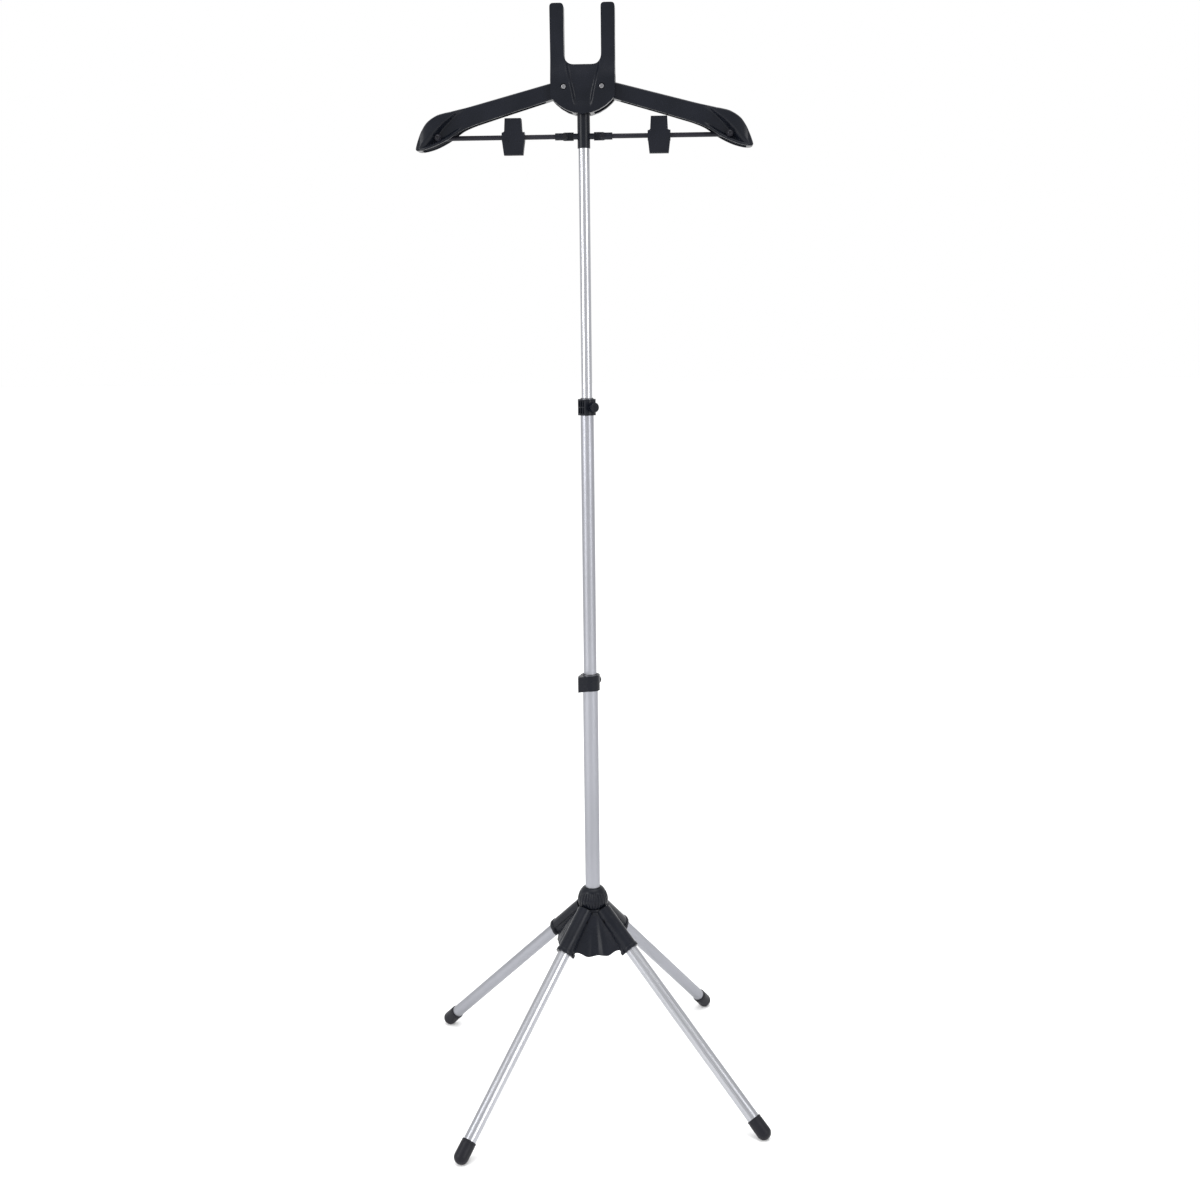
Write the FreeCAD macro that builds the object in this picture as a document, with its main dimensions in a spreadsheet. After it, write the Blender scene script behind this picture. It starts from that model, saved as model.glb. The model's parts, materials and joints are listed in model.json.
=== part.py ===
"""Free-standing folding garment stand: four-legged base, three-draw pole, folding hanger with trouser clips.

Frame: millimetres, +Z up, origin on the floor under the pole. X runs along the hanger, -Y is the front.
"""
import FreeCAD, Part
import math
import os

import Sketcher
from FreeCAD import Placement, Rotation, Vector

X_AXIS = Vector(1, 0, 0)
Y_AXIS = Vector(0, 1, 0)
Z_AXIS = Vector(0, 0, 1)
ORIGIN = Vector(0, 0, 0)

# ---------------------------------------------------------------- driving dimensions
DIMENSIONS = {
    # base
    "cross_height": 252.0,      # where the leg axes meet the pole axis
    "foot_reach": 260.0,        # pole axis to the centre of each foot's round end
    "foot_height": 9.0,         # centre of that round end above the floor
    "leg_turn": 55.3,           # azimuth of the first leg, from the hanger
    "leg_radius": 8.0,
    "tube_wall": 1.0,
    "leg_end": 351.5,           # leg tube's outer end, along the leg from the cross point
    "cap_radius": 9.25,
    "cap_length": 20.0,
    "pivot_reach": 26.0,        # pole axis to each leg's pivot
    "pin_radius": 2.0,
    "hood_radius": 10.5,
    "hood_gap": 0.4,
    "mouth_reach": 61.0,        # pole axis to the mouth of each leg socket
    "cheek_depth": 9.0,
    "skirt_top_radius": 17.5,
    "skirt_rim_radius": 46.0,
    "skirt_top": 238.0,
    "skirt_rim": 190.0,
    "skirt_wall": 2.5,
    "sleeve_radius": 14.0,
    "neck_radius": 14.5,
    "neck_top": 256.0,
    "socket_floor": 202.0,
    "collet_radius": 11.0,
    "nut_bottom": 241.5,
    "nut_top": 266.7,
    "nut_radius": 19.7,
    # pole
    "lower_radius": 9.5,
    "middle_radius": 8.0,
    "upper_radius": 6.5,
    "lower_bottom": 205.0,
    "lower_top": 547.9,
    "middle_bottom": 488.0,
    "middle_top": 891.7,
    "upper_bottom": 830.0,
    "upper_top": 1262.0,
    "lower_clamp_height": 537.6,
    "upper_clamp_height": 881.6,
    "clamp_length": 19.5,
    "knob_radius": 6.0,
    "knob_length": 6.2,
    "running_gap": 0.05,
    "free_gap": 0.3,
    # hanger
    "arm_pivot_x": 22.2,
    "arm_pivot_z": 1252.9,
    "rod_tip_x": 171.0,
    "rod_height": 1198.3,
    "rod_radius": 2.8,
    "screw_radius": 2.0,
    "tip_pin_radius": 1.6,
    "arm_half_depth": 8.5,
    "shoulder_half_depth": 16.5,
    "arm_skin": 2.4,
    "head_half_width": 37.5,
    "head_half_depth": 16.0,
    "head_cavity": 9.5,         # half the depth of the slot that the arms fold in
    "head_corner": 1240.0,      # where the head's straight sides meet its bottom arc
    "head_bottom": 1223.7,
    "head_core": 12.9,          # half the width of the block that grips the pole
    "fork_top": 1346.5,
    "fork_half_depth": 8.5,
    "notch_half_width": 21.6,
    "notch_bottom": 1278.6,
    "notch_corner": 12.0,
    "runner_radius": 7.5,
    "runner_bottom": 1184.7,
    "runner_top": 1226.2,
    "lug_radius": 4.8,
    "rod_end_radius": 4.15,
    "closed_angle": 60.0,       # how far below level the arms point with the hanger closed
    # trouser clips
    "left_clip_x": -83.15,
    "right_clip_x": 88.6,
    "clip_half_width": 13.4,
    "handle_half_width": 9.6,
    "handle_height": 21.6,
    "jaw_depth": 20.4,
    "jaw_half_width": 11.2,
    "hub_ring_radius": 6.2,
}

doc = FreeCAD.newDocument("garment_stand")
sheet = doc.addObject("Spreadsheet::Sheet", "Dimensions")
for row, (alias, value) in enumerate(DIMENSIONS.items(), start=1):
    sheet.set(f"A{row}", alias)
    sheet.set(f"B{row}", str(value))
    sheet.setAlias(f"B{row}", alias)
doc.recompute()

exported = []
WORK_CELL = "D1"


def size(alias):
    """One driving dimension, read from the sheet."""
    return float(sheet.get(alias))


def cell(alias):
    """The same dimension as the text of an expression."""
    return f"Dimensions.{alias}"


def keep(item, label=None):
    """Marks a document object as a sub-part to be written out."""
    item.Label = label or item.Name
    exported.append(item)
    return item


# ---------------------------------------------------------------- ways of making a piece
def new_body(name):
    body = doc.addObject("PartDesign::Body", name)
    body.Label = name
    return body


def new_sketch(body, role, name):
    """An empty sketch on one of the body's own origin planes."""
    plane = next(item for item in body.Origin.OriginFeatures if item.Role == role)
    sketch = body.newObject("Sketcher::SketchObject", name)
    sketch.AttachmentSupport = [(plane, "")]
    sketch.MapMode = "FlatFace"
    return sketch


def add_circle(sketch, radius):
    """A circle round the sketch's origin whose radius is an expression."""
    index = sketch.addGeometry(Part.Circle(ORIGIN, Z_AXIS, 5.0), False)
    sketch.addConstraint(Sketcher.Constraint("Coincident", index, 3, -1, 1))
    number = sketch.addConstraint(Sketcher.Constraint("Radius", index, 5.0))
    sketch.setExpression(f"Constraints[{number}]", radius)


def add_outline(sketch, corners):
    """A closed polygon; each corner is a pair of expressions, across and up."""
    values = [tuple(sheet_value(text) for text in corner) for corner in corners]
    count = len(values)
    for index in range(count):
        start = Vector(*values[index], 0)
        end = Vector(*values[(index + 1) % count], 0)
        sketch.addGeometry(Part.LineSegment(start, end), False)
    for index in range(count):
        sketch.addConstraint(Sketcher.Constraint("Coincident", index, 2, (index + 1) % count, 1))
    for index, corner in enumerate(corners):
        for kind, text, value in zip(("DistanceX", "DistanceY"), corner, values[index]):
            number = sketch.addConstraint(Sketcher.Constraint(kind, -1, 1, index, 1, value))
            sketch.setExpression(f"Constraints[{number}]", text)


def sheet_value(text):
    """The present value of an expression made of cells, numbers and + - * /."""
    sheet.set(WORK_CELL, "=" + text.replace("Dimensions.", ""))
    sheet.recompute()
    return float(sheet.get(WORK_CELL))


def tube(name, outer, inner, length, placement):
    """A padded ring along the body's own Z."""
    body = new_body(name)
    sketch = new_sketch(body, "XY_Plane", f"{name}_section")
    add_circle(sketch, outer)
    add_circle(sketch, inner)
    pad = body.newObject("PartDesign::Pad", f"{name}_pad")
    pad.Profile = sketch
    pad.setExpression("Length", length)
    body.Placement = placement
    return keep(body)


def turned(name, corners, placement=Placement()):
    """A revolved outline; corners are pairs of expressions, radius and height."""
    body = new_body(name)
    sketch = new_sketch(body, "XZ_Plane", f"{name}_profile")
    add_outline(sketch, corners)
    turn = body.newObject("PartDesign::Revolution", f"{name}_turn")
    turn.Profile = sketch
    turn.ReferenceAxis = (sketch, ["V_Axis"])
    turn.Angle = 360.0
    body.Placement = placement
    return keep(body)


def feature(name, shape, placement=Placement()):
    """A sub-part whose shape is worked out from the sheet by this file."""
    item = doc.addObject("Part::Feature", name)
    item.Shape = shape
    item.Placement = placement
    return keep(item)


def cylinder(radius, start, end):
    """A solid cylinder between two points."""
    run = end - start
    return Part.makeCylinder(radius, run.Length, start, run)


def block(low, high):
    """A solid box between two corners."""
    return Part.makeBox(high[0] - low[0], high[1] - low[1], high[2] - low[2], Vector(*low))


def prism(edges, run):
    """A solid swept straight from a closed set of edges."""
    return Part.Face(Part.Wire(edges)).extrude(run)


def lines(points):
    return [Part.LineSegment(a, b).toShape() for a, b in zip(points, points[1:])]


def curve(points):
    spline = Part.BSplineCurve()
    spline.interpolate(points)
    return spline.toShape()


def arc(start, middle, end):
    return Part.Arc(start, middle, end).toShape()


def union(shapes):
    return shapes[0].fuse(shapes[1:]).removeSplitter()


def mirrored(shape):
    """The same shape on the other side of the pole, left for right."""
    return shape.mirror(ORIGIN, X_AXIS)


# ---------------------------------------------------------------- base
def leg_slope():
    return math.degrees(math.atan2(size("cross_height") - size("foot_height"), size("foot_reach")))


def leg_placement(azimuth):
    """Local Z runs down the leg from the cross point, local X points down and in, local Y is level."""
    tilt = Rotation(Y_AXIS, 90 + leg_slope())
    return Placement(Vector(0, 0, size("cross_height")), Rotation(Z_AXIS, azimuth) * tilt)


def along_leg(reach):
    """Distance down the leg's axis at a given distance from the pole's axis."""
    return reach / math.cos(math.radians(leg_slope()))


LEGS = {name: size("leg_turn") + 90 * quarter
        for quarter, name in enumerate(("back_right", "back_left", "front_left", "front_right"))}
SHANK_LENGTH = 18.0
COLLAR_LENGTH = 10.0
SOCKET_START = 25.0


def leg_plug_shape():
    """Solid end of a leg: a ball nose on the pivot, a collar and a shank inside the tube."""
    radius = size("leg_radius")
    pivot = along_leg(size("pivot_reach"))
    collar_end = pivot + COLLAR_LENGTH
    collar = cylinder(radius, Vector(0, 0, pivot), Vector(0, 0, collar_end))
    nose = Part.makeSphere(radius, Vector(0, 0, pivot))
    shank = cylinder(radius - size("tube_wall"), Vector(0, 0, collar_end),
                     Vector(0, 0, collar_end + SHANK_LENGTH))
    hole = cylinder(size("pin_radius") + size("running_gap"), Vector(0, -radius, pivot),
                    Vector(0, radius, pivot))
    return union([collar, nose, shank]).cut(hole)


def foot_cap_shape():
    """Moulded cap with a round end, a blind hole for the tube and a small flat where it stands."""
    radius = size("cap_radius")
    centre = along_leg(size("foot_reach"))
    mouth = centre - size("cap_length")
    cap = union([cylinder(radius, Vector(0, 0, mouth), Vector(0, 0, centre)),
                 Part.makeSphere(radius, Vector(0, 0, centre))])
    hole = cylinder(size("leg_radius"), Vector(0, 0, mouth - 1), Vector(0, 0, size("leg_end")))
    return cap.cut(hole)


def make_legs():
    floor = block((-400, -400, -20), (400, 400, 0))
    for name, azimuth in LEGS.items():
        placement = leg_placement(azimuth)
        start = along_leg(size("pivot_reach")) + COLLAR_LENGTH
        tube(f"leg_tube_{name}", cell("leg_radius"), f"{cell('leg_radius')} - {cell('tube_wall')}",
             f"{cell('leg_end')} - {start}",
             placement * Placement(Vector(0, 0, start), Rotation()))
        feature(f"leg_plug_{name}", leg_plug_shape(), placement)
        cap = foot_cap_shape()
        cap.Placement = placement
        feature(f"foot_cap_{name}", cap.cut(floor))


def socket_outer():
    """One leg socket's outside: a round back with two cheeks and a thicker lip at its mouth."""
    radius = size("hood_radius")
    start = along_leg(size("skirt_top_radius") - 2)
    mouth = along_leg(size("mouth_reach"))
    lip = 0.9
    lip_length = 4.5
    shell = cylinder(radius, Vector(0, 0, start), Vector(0, 0, mouth))
    cheeks = block((0, -radius, start), (size("cheek_depth"), radius, mouth))
    ring = cylinder(radius + lip, Vector(0, 0, mouth - lip_length), Vector(0, 0, mouth))
    return shell.fuse([cheeks, ring])


def socket_inner():
    """The space that one leg lies and folds in, open downwards."""
    radius = size("leg_radius") + size("hood_gap")
    mouth = along_leg(size("mouth_reach")) + 20
    below = 45.0
    bore = cylinder(radius, Vector(0, 0, SOCKET_START), Vector(0, 0, mouth))
    return bore.fuse(block((0, -radius, SOCKET_START), (below, radius, mouth)))


def placed(shape, placement):
    copy = shape.copy()
    copy.Placement = placement
    return copy


def make_hub():
    top = size("skirt_top")
    rim = size("skirt_rim")
    ring_top = top + 2.5
    wall = size("skirt_wall")
    skirt = Part.makeCone(size("skirt_rim_radius"), size("skirt_top_radius"), top - rim,
                          Vector(0, 0, rim))
    hollow = Part.makeCone(size("skirt_rim_radius") - wall, size("skirt_top_radius") - wall,
                           top - rim, Vector(0, 0, rim - 0.01))
    sockets = [placed(socket_outer(), leg_placement(azimuth)) for azimuth in LEGS.values()]
    spaces = [placed(socket_inner(), leg_placement(azimuth)) for azimuth in LEGS.values()]
    nut_room = cylinder(size("nut_radius") + 0.9, Vector(0, 0, ring_top), Vector(0, 0, ring_top + 40))
    inside = hollow.cut(union(sockets))
    shell = skirt.cut(inside).fuse(sockets).cut(spaces + [nut_room])
    sleeve = cylinder(size("sleeve_radius"), Vector(0, 0, size("socket_floor") - 3),
                      Vector(0, 0, ring_top))
    ring = cylinder(size("skirt_top_radius"), Vector(0, 0, top - 1.5), Vector(0, 0, ring_top))
    neck = cylinder(size("neck_radius"), Vector(0, 0, top), Vector(0, 0, size("neck_top")))
    bore = cylinder(size("collet_radius"), Vector(0, 0, size("socket_floor")), Vector(0, 0, 300))
    below = block((-90, -90, 150), (90, 90, rim - 8))
    hub = union([shell, sleeve, ring, neck]).cut([bore, below] + leg_pins())
    feature("base_hub", hub)
    feature("leg_pins", Part.makeCompound(leg_pins()))


def leg_pins():
    """The four pins that the legs fold on, one through each socket's cheeks."""
    half = size("hood_radius")
    pivot = along_leg(size("pivot_reach"))
    pin = cylinder(size("pin_radius"), Vector(0, -half, pivot), Vector(0, half, pivot))
    return [placed(pin, leg_placement(azimuth)) for azimuth in LEGS.values()]


def make_collet():
    """Split sleeve that the nut squeezes on to the pole."""
    bore = f"{cell('lower_radius')} + {cell('running_gap')}"
    outer = cell("collet_radius")
    turned("hub_collet", [
        (bore, f"{cell('socket_floor')} + 4"),
        (outer, f"{cell('socket_floor')} + 4"),
        (outer, f"{cell('neck_top')} + 0.3"),
        (f"{outer} + 1.3", f"{cell('neck_top')} + 1.6"),
        (f"{outer} - 0.5", f"{cell('neck_top')} + 6"),
        (bore, f"{cell('neck_top')} + 6"),
    ])


def make_collar_nut():
    """Domed hand nut with a cone inside that closes the collet; flutes run down its side."""
    thread = size("neck_radius") + 0.1
    low = size("nut_bottom")
    high = size("nut_top")
    radius = size("nut_radius")
    widest = low + 8.5
    def at(across, height):
        return Vector(across, 0, height)

    edges = lines([at(thread, low), at(radius - 2.4, low)])
    edges.append(arc(at(radius - 2.4, low), at(radius - 0.6, low + 3.5), at(radius, widest)))
    edges.append(arc(at(radius, widest), at(radius - 2.6, widest + 9.5), at(10.7, high)))
    edges += lines([at(10.7, high), at(9.9, high), at(9.9, high - 3), at(14.0, high - 9.2),
                    at(thread, high - 9.2), at(thread, low)])
    dome = Part.Face(Part.Wire(edges)).revolve(ORIGIN, Z_AXIS, 360)
    flute_count = 24
    flute_radius = 1.1
    flutes = []
    for number in range(flute_count):
        turn = math.radians(360 / flute_count * number)
        spot = Vector(math.cos(turn), math.sin(turn), 0) * (radius + 0.5)
        flutes.append(cylinder(flute_radius, spot + Vector(0, 0, low - 1), spot + Vector(0, 0, high)))
    feature("collar_nut", dome.cut(flutes))


# ---------------------------------------------------------------- pole
def at_height(alias):
    return Placement(Vector(0, 0, size(alias)), Rotation())


def pole_tube(name, radius, bottom, top):
    wall = cell("tube_wall")
    tube(name, cell(radius), f"{cell(radius)} - {wall}", f"{cell(top)} - {cell(bottom)}",
         at_height(bottom))


def end_bush(name, tube_radius, outer_inner_radius, bottom):
    """Plug in a tube's lower end, with a flange that runs in the next tube down."""
    spigot = f"{cell(tube_radius)} - {cell('tube_wall')}"
    flange = f"{outer_inner_radius} - {cell('running_gap')}"
    base = cell(bottom)
    turned(name, [
        ("2", f"{base} - 2"),
        (flange, f"{base} - 2"),
        (flange, base),
        (spigot, base),
        (spigot, f"{base} + 8"),
        ("2", f"{base} + 8"),
    ])


def mouth_liner(name, tube_radius, inner_radius, top):
    """Thin plastic liner that takes up the slack in a tube's mouth, with a lip on its rim."""
    lip = 0.8
    bore = f"{cell(inner_radius)} + {cell('running_gap')}"
    barrel = f"{cell(tube_radius)} - {cell('tube_wall')}"
    top_cell = cell(top)
    turned(name, [
        (bore, f"{top_cell} - 14"),
        (barrel, f"{top_cell} - 14"),
        (barrel, top_cell),
        (f"{cell(tube_radius)} - 0.3", top_cell),
        (f"{cell(tube_radius)} - 0.3", f"{top_cell} + {lip}"),
        (bore, f"{top_cell} + {lip}"),
    ])


SCREW = 2.5
NUT_ACROSS = 4.0


def clamp(name, height, outer, inner, wall, corners, knob_azimuth):
    """Collar round a tube's mouth, with a hand screw that presses the next tube through it."""
    middle = size(height)
    half = size("clamp_length") / 2
    outer_radius = size(outer)
    gap = size("free_gap")
    low = Vector(0, 0, middle - half)
    points = [Vector(x, y, middle - half) for x, y in corners]
    slab = prism(lines(points + points[:1]), Vector(0, 0, 2 * half))
    ring = cylinder(outer_radius + wall, low, low + Vector(0, 0, 2 * half))
    bore = cylinder(outer_radius, low - Z_AXIS, low + Vector(0, 0, 2 * half + 2))
    turn = math.radians(knob_azimuth)
    out = Vector(math.cos(turn), math.sin(turn), 0)
    centre = Vector(0, 0, middle)
    face = outer_radius + wall + 0.6
    boss = cylinder(5.4, centre, centre + out * face)
    screw_hole = cylinder(SCREW + 0.5, centre, centre + out * 60)
    nut = cylinder(NUT_ACROSS, centre + out * (outer_radius + 0.2),
                   centre + out * (outer_radius + wall - 0.4))
    collar = union([slab, ring, boss]).cut([bore, screw_hole, nut])
    feature(f"{name}_clamp", collar)
    thread = cylinder(SCREW + size("running_gap"), centre, centre + out * 60)
    feature(f"{name}_clamp_nut", nut.cut(thread))
    start = centre + out * (size(inner) + gap)
    seat = centre + out * (face + 0.4)
    tip = seat + out * size("knob_length")
    screw = cylinder(SCREW, start, seat + out * 3)
    feature(f"{name}_clamp_screw", screw)
    knob = cylinder(size("knob_radius"), seat, tip)
    across = Vector(-out.y, out.x, 0)
    ribs = []
    rib_count = 14
    for number in range(rib_count):
        angle = 2 * math.pi * number / rib_count
        spot = (across * math.cos(angle) + Z_AXIS * math.sin(angle)) * (size("knob_radius") + 0.25)
        ribs.append(cylinder(0.7, seat + spot - out, tip + spot + out))
    feature(f"{name}_clamp_knob", knob.cut(ribs + [screw]))
    return out


def cut_screw_hole(item, height, out):
    """Bores the tube wall behind the clamp so that the screw reaches the next tube."""
    centre = Vector(0, 0, size(height))
    hole = cylinder(SCREW + 0.4, centre, centre + out * 12)
    exported.remove(item)
    return feature_from_cut(item, hole)


def feature_from_cut(item, hole):
    """A Part::Cut of an earlier object and a drilled hole, under the earlier object's label."""
    drill = doc.addObject("Part::Feature", f"{item.Name}_drill")
    drill.Shape = hole
    cut = doc.addObject("Part::Cut", f"{item.Name}_drilled")
    cut.Base = item
    cut.Tool = drill
    label = item.Label
    item.Label = f"{label}_blank"
    return keep(cut, label)


def make_pole():
    wall = cell("tube_wall")
    pole_tube("lower_tube", "lower_radius", "lower_bottom", "lower_top")
    pole_tube("middle_tube", "middle_radius", "middle_bottom", "middle_top")
    pole_tube("upper_tube", "upper_radius", "upper_bottom", "upper_top")
    turned("lower_plug", [
        ("0", f"{cell('lower_bottom')} - 2.7"),
        (cell("lower_radius"), f"{cell('lower_bottom')} - 2.7"),
        (cell("lower_radius"), cell("lower_bottom")),
        (f"{cell('lower_radius')} - {wall}", cell("lower_bottom")),
        (f"{cell('lower_radius')} - {wall}", f"{cell('lower_bottom')} + 8"),
        ("0", f"{cell('lower_bottom')} + 8"),
    ])
    end_bush("middle_bush", "middle_radius", f"{cell('lower_radius')} - {wall}", "middle_bottom")
    end_bush("upper_bush", "upper_radius", f"{cell('middle_radius')} - {wall}", "upper_bottom")
    mouth_liner("lower_liner", "lower_radius", "middle_radius", "lower_top")
    mouth_liner("upper_liner", "middle_radius", "upper_radius", "middle_top")
    lower_corners = [(-14.4, -16.8), (10.8, -5.6), (11.2, 3.0), (-9.5, 7.0), (-14.4, -8.5)]
    upper_corners = [(-10.9, -2.2), (-1.2, -13.3), (10.7, -3.7), (10.4, 4.0), (-8.0, 7.0)]
    lower_out = clamp("lower", "lower_clamp_height", "lower_radius", "middle_radius", 2.5,
                      lower_corners, 64)
    upper_out = clamp("upper", "upper_clamp_height", "middle_radius", "upper_radius", 2.2,
                      upper_corners, -50)
    for name, height, out in (("lower", "lower_clamp_height", lower_out),
                              ("middle", "upper_clamp_height", upper_out)):
        for piece in (f"{name}_tube", "lower_liner" if name == "lower" else "upper_liner"):
            cut_screw_hole(doc.getObject(piece), height, out)


# ---------------------------------------------------------------- hanger head
def head_half(front):
    """One half shell of the head with its half of the fork; front is -1 and back is +1."""
    half = size("head_half_width")
    top = size("fork_top")
    low = size("head_bottom")
    corner = size("head_corner")
    notch = size("notch_half_width")
    floor = size("notch_bottom")
    bend = size("notch_corner")
    soft = 2.5
    dip = bend * (1 - math.sqrt(0.5))
    nip = soft * (1 - math.sqrt(0.5))
    depth = size("head_half_depth")

    def at(across, height):
        return Vector(across, 0, height)

    right = lines([at(half, corner), at(half + 0.3, top - soft)])
    right.append(arc(at(half + 0.3, top - soft), at(half + 0.3 - nip, top - nip),
                     at(half + 0.3 - soft, top)))
    right += lines([at(half + 0.3 - soft, top), at(notch + soft, top)])
    right.append(arc(at(notch + soft, top), at(notch + nip, top - nip), at(notch, top - soft)))
    right += lines([at(notch, top - soft), at(notch, floor + bend)])
    right.append(arc(at(notch, floor + bend), at(notch - dip, floor + dip), at(notch - bend, floor)))
    left = [edge.mirror(ORIGIN, X_AXIS) for edge in right]
    bridge = lines([at(notch - bend, floor), at(bend - notch, floor)])
    belly = [arc(at(half, corner), at(0, low), at(-half, corner))]
    plate = prism(Part.__sortEdges__(right + bridge + left + belly), Vector(0, front * depth, 0))

    cavity = size("head_cavity")
    roof = 1267.0
    core = size("head_core")
    room = block((-60, min(0, front * cavity) - 0.001, 1200), (60, max(0, front * cavity) + 0.001, roof))
    room = room.cut(block((-core, -60, 1150), (core, 60, 1300)))
    relief_y = front * size("fork_half_depth")
    outside = front * (depth + 1)
    slope = [Vector(-60, outside, roof), Vector(-60, outside, top + 5), Vector(-60, relief_y, top + 5),
             Vector(-60, relief_y, roof + 13), Vector(-60, front * depth, roof + 3),
             Vector(-60, outside, roof)]
    relief = prism(lines(slope), Vector(120, 0, 0))
    neck_room = cylinder(size("runner_radius") + 0.6, Vector(0, 0, 1200),
                         Vector(0, 0, size("runner_top") + 0.5))
    neck_slot = block((-8.2, -60, 1200), (8.2, 60, size("runner_top") + 0.5))
    socket = cylinder(size("upper_radius"), Vector(0, 0, 1200), Vector(0, 0, size("upper_top")))
    return plate.cut([room, relief, neck_room, neck_slot, socket] + arm_screws())


def arm_screws():
    """The two screws that the arms fold on, with round heads sunk in the front."""
    depth = size("head_half_depth")
    screws = []
    for side in (-1, 1):
        spot = Vector(side * size("arm_pivot_x"), 0, size("arm_pivot_z"))
        shank = cylinder(size("screw_radius"), spot + Vector(0, -depth + 0.5, 0),
                         spot + Vector(0, depth - 0.5, 0))
        head = cylinder(3.2, spot + Vector(0, -depth + 0.2, 0), spot + Vector(0, -depth + 2.4, 0))
        screws.append(shank.fuse(head))
    return screws


def make_head():
    front = head_half(-1)
    depth = size("head_half_depth")
    trough = [Vector(-21, -depth - 1, 1272), Vector(21, -depth - 1, 1272), Vector(15.5, -depth - 1, 1250),
              Vector(12, -depth - 1, 1235), Vector(-12, -depth - 1, 1235),
              Vector(-15.5, -depth - 1, 1250), Vector(-21, -depth - 1, 1272)]
    feature("head_front", front.cut(prism(lines(trough), Vector(0, 3.2, 0))))
    feature("head_back", head_half(1))
    feature("arm_screws", Part.makeCompound(arm_screws()))


# ---------------------------------------------------------------- arms
def arm_outline(at):
    """The right arm's side view: a straight bar with a round root that drops to a rounded shoulder."""
    pivot_x = size("arm_pivot_x")
    pivot_z = size("arm_pivot_z")
    root = 8.8
    lower_bend = at(129, 1212.0)
    upper_bend = at(155, 1227.6)
    tip_low = at(196.5, 1183.7)
    edges = lines([at(pivot_x - 2, pivot_z - root + 0.2), at(92, 1223.2), lower_bend])
    edges.append(curve([lower_bend, at(141.5, 1206.9), at(150, 1201.8), at(160, 1195.3),
                        at(176, 1187.9), at(189, 1184.2), tip_low]))
    edges.append(curve([tip_low, at(198.8, 1186.3), at(195.2, 1196.0), at(190.3, 1206.2),
                        at(183.6, 1215.3), at(172.5, 1222.7), upper_bend]))
    edges += lines([upper_bend, at(pivot_x + 2.2, pivot_z + root - 0.3)])
    edges.append(arc(at(pivot_x + 2.2, pivot_z + root - 0.3), at(pivot_x - root, pivot_z),
                     at(pivot_x - 2, pivot_z - root + 0.2)))
    return edges


def plan_outline(half, shoulder, tip, height):
    """Half-depths along the arm seen from above: parallel, then flared at the shoulder."""
    def at(across, away):
        return Vector(across, away, height)

    flare_start = 118
    side = [(flare_start, half), (142, half + 0.3 * (shoulder - half)), (160, half + 0.75 * (shoulder - half)),
            (176, shoulder), (tip - 9, shoulder * 0.82), (tip - 2, shoulder * 0.45), (tip, 0)]
    edges = [curve([at(x, y) for x, y in side]), curve([at(x, -y) for x, y in side])]
    return edges + lines([at(flare_start, -half), at(0, -half), at(0, half), at(flare_start, half)])


def make_arms():
    half = size("arm_half_depth")
    skin = size("arm_skin")
    shoulder = size("shoulder_half_depth")
    def at(across, height):
        return Vector(across, -40, height)

    bar = prism(arm_outline(at), Vector(0, 80, 0))
    plan = prism(Part.__sortEdges__(plan_outline(half, shoulder, 199.4, 1150)), Vector(0, 0, 150))
    arm = bar.common(plan)
    bend = at(154.2, 1225.0)
    foot = at(195.4, 1188.0)
    roof = lines([at(40, 1150), at(40, 1254.7), bend])
    roof.append(curve([bend, at(171.6, 1220.2), at(181.9, 1213.2), at(188.1, 1204.6),
                       at(192.6, 1195.0), foot]))
    roof += lines([foot, at(195.4, 1150), at(40, 1150)])
    inner = plan_outline(half - skin, shoulder - skin, 196.4, 1140)
    hollow = prism(roof, Vector(0, 80, 0)).common(
        prism(Part.__sortEdges__(inner), Vector(0, 0, 160)))
    pivot = Vector(size("arm_pivot_x"), 0, size("arm_pivot_z"))
    eye = cylinder(size("screw_radius") + size("running_gap"), pivot - Y_AXIS * 20, pivot + Y_AXIS * 20)
    arm = arm.cut([hollow, eye, tip_pin_shape()])
    feature("right_arm", arm)
    feature("left_arm", mirrored(arm))
    feature("right_tip_pin", tip_pin_shape())
    feature("left_tip_pin", mirrored(tip_pin_shape()))


def tip_pin_shape():
    """Pin with a flat head at each end, through the shoulder."""
    spot = Vector(size("rod_tip_x"), 0, size("rod_height"))
    reach = size("shoulder_half_depth") + 0.1
    pin = cylinder(size("tip_pin_radius"), spot - Y_AXIS * reach, spot + Y_AXIS * reach)
    heads = [cylinder(2.6, spot + Y_AXIS * reach * side, spot + Y_AXIS * (reach + 0.9) * side)
             for side in (-1, 1)]
    return pin.fuse(heads)


# ---------------------------------------------------------------- rods and runner
def make_runner():
    """Sleeve that slides on the upper tube, with a half-lapped lug each side for the rods."""
    radius = size("runner_radius")
    level = size("rod_height")
    pivot = size("arm_pivot_x")
    lug = size("lug_radius")
    gap = size("free_gap") / 2
    body = cylinder(radius, Vector(0, 0, size("runner_bottom")), Vector(0, 0, size("runner_top")))
    stub = cylinder(3.5, Vector(0, 0, level), Vector(12.5, 0, level))
    tongue = cylinder(lug, Vector(12, 0, level), Vector(pivot, 0, level))
    eye = cylinder(lug, Vector(pivot, 0, level), Vector(pivot, lug, level))
    behind = block((0, gap, level - 20), (40, 20, level + 20))
    half_lap = tongue.common(behind).fuse(eye.common(behind).common(
        cylinder(lug, Vector(pivot - lug, 0, level), Vector(pivot + lug, 0, level))))
    hole = cylinder(size("tip_pin_radius"), Vector(pivot, -20, level), Vector(pivot, 20, level))
    side = union([stub, half_lap.removeSplitter()]).cut(hole)
    bore = cylinder(size("upper_radius") + size("running_gap"), Vector(0, 0, 1100), Vector(0, 0, 1300))
    feature("neck_runner", union([body, side, mirrored(side)]).cut(bore))


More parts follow.
